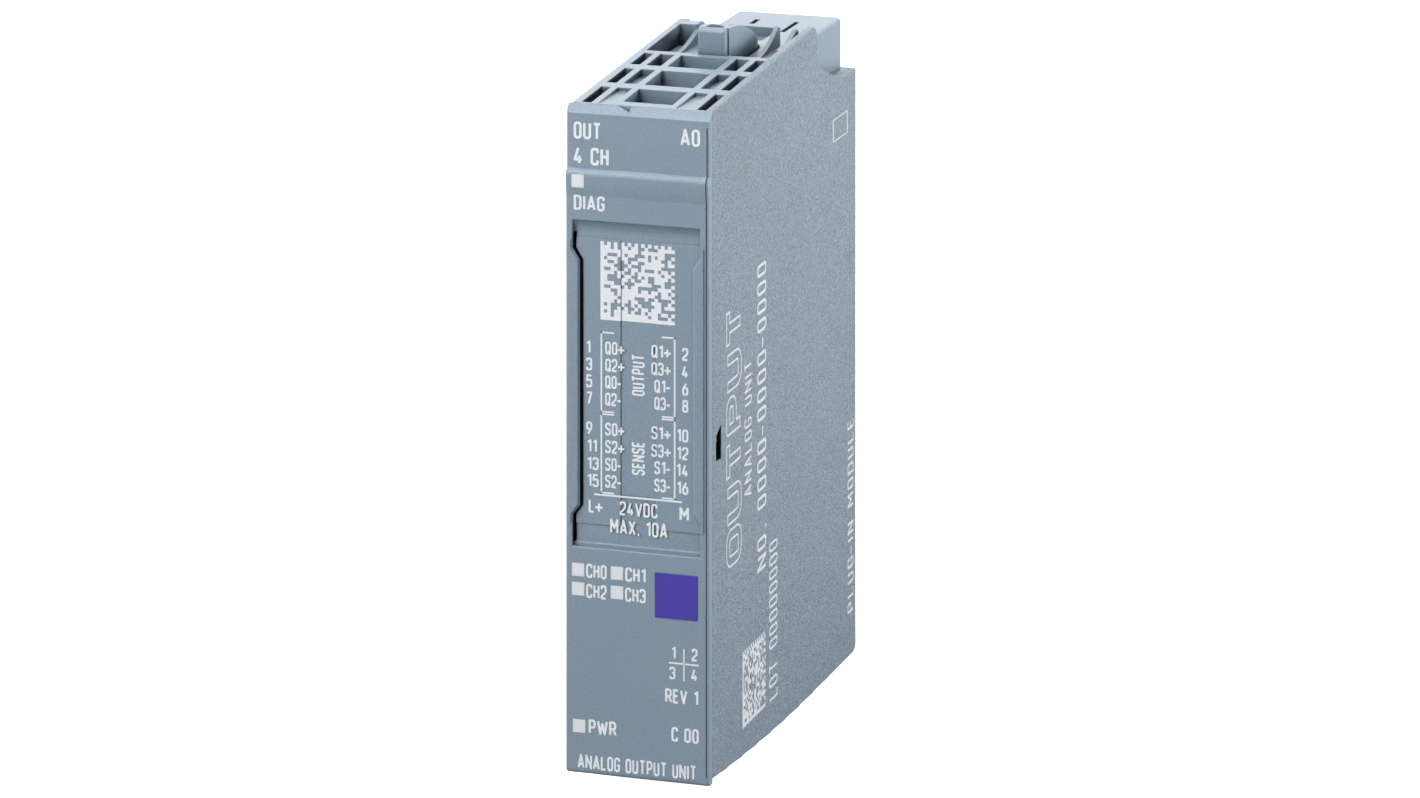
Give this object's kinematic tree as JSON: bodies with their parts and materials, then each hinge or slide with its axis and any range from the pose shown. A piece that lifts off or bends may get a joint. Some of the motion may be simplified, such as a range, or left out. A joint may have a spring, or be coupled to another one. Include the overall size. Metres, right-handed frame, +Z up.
{
  "type": "plug-in output module",
  "caption": "Slim blue-grey plug-in output module for a rail-mounted controller station, with label recess, status windows, cooling grille, release buttons and rear plugs.",
  "frame": {"origin": "on the module's middle plane, on the rear seating face, 30 mm above the level of the front's foot", "axes": "+X to the right as seen from the front, +Y into the station (the way the module plugs in), +Z up"},
  "size_m": [0.015, 0.058, 0.073],
  "materials": {
    "front_plastic": "fine-textured mid blue-grey moulded plastic",
    "side_plastic": "coarse-textured light blue-grey moulded plastic",
    "casing_plastic": "fine-textured light blue-grey moulded plastic",
    "window_plastic": "translucent off-white light guide",
    "label_film": "printed violet film",
    "circuit_board": "green solder mask over glass fibre laminate",
    "chip_black": "moulded epoxy, black",
    "connector_black": "moulded black connector plastic",
    "contact_metal": "gold flashed spring contact",
    "coding_plastic": "moulded dark grey plastic",
    "capacitor_can": "drawn aluminium can",
    "ceramic": "fired ceramic chip",
    "resistor_black": "glazed thick film chip",
    "ferrite": "sintered ferrite",
    "winding_tape": "winding under yellow tape",
    "crystal_can": "plated steel lid",
    "led_white": "clear moulded lamp body"
  },
  "bodies": {
    "casing": {"housing_shell": "casing_plastic", "side_cover": "side_plastic", "front_cover": "front_plastic", "light_guide_diag": "window_plastic", "light_guide_power": "window_plastic", "light_guide_channels": "window_plastic", "main_board": "circuit_board", "controller_chip": "chip_black", "converter_chip": "chip_black", "isolator_chips": "chip_black", "output_driver_chips": "chip_black", "surge_diodes": "chip_black", "crystal": "crystal_can", "fuse": "ceramic", "resistors": "resistor_black", "ceramic_capacitors": "ceramic", "status_leds": "led_white", "inductor": "ferrite", "electrolytic_capacitors": "capacitor_can", "transformer_core": "ferrite", "transformer_winding": "winding_tape", "process_connector_body": "connector_black", "process_connector_contacts": "contact_metal", "bus_connector_body": "connector_black", "bus_connector_contacts": "contact_metal", "coding_carrier": "coding_plastic", "colour_code_label": "label_film"},
    "top_release": {"release_button_top": "casing_plastic"},
    "bottom_release": {"release_button_bottom": "casing_plastic"},
    "coding_half": {"coding_key": "coding_plastic"}
  },
  "joints": [
    {"name": "top_release_hinge", "type": "hinge", "parent": "casing", "child": "top_release", "pos_m": [0.00057, -0.0106, 0.0326], "axis": [1, 0, 0], "range_deg": [0, 4], "stiffness_Nm_per_rad": 0.01, "springref_deg": -5.73},
    {"name": "bottom_release_hinge", "type": "hinge", "parent": "casing", "child": "bottom_release", "pos_m": [0.00057, -0.0106, -0.02548], "axis": [-1, 0, 0], "range_deg": [0, 4], "stiffness_Nm_per_rad": 0.01, "springref_deg": -5.73},
    {"name": "coding_key_slide", "type": "slide", "parent": "casing", "child": "coding_half", "axis": [0, 1, 0], "range_m": [0, 0.006]}
  ]
}
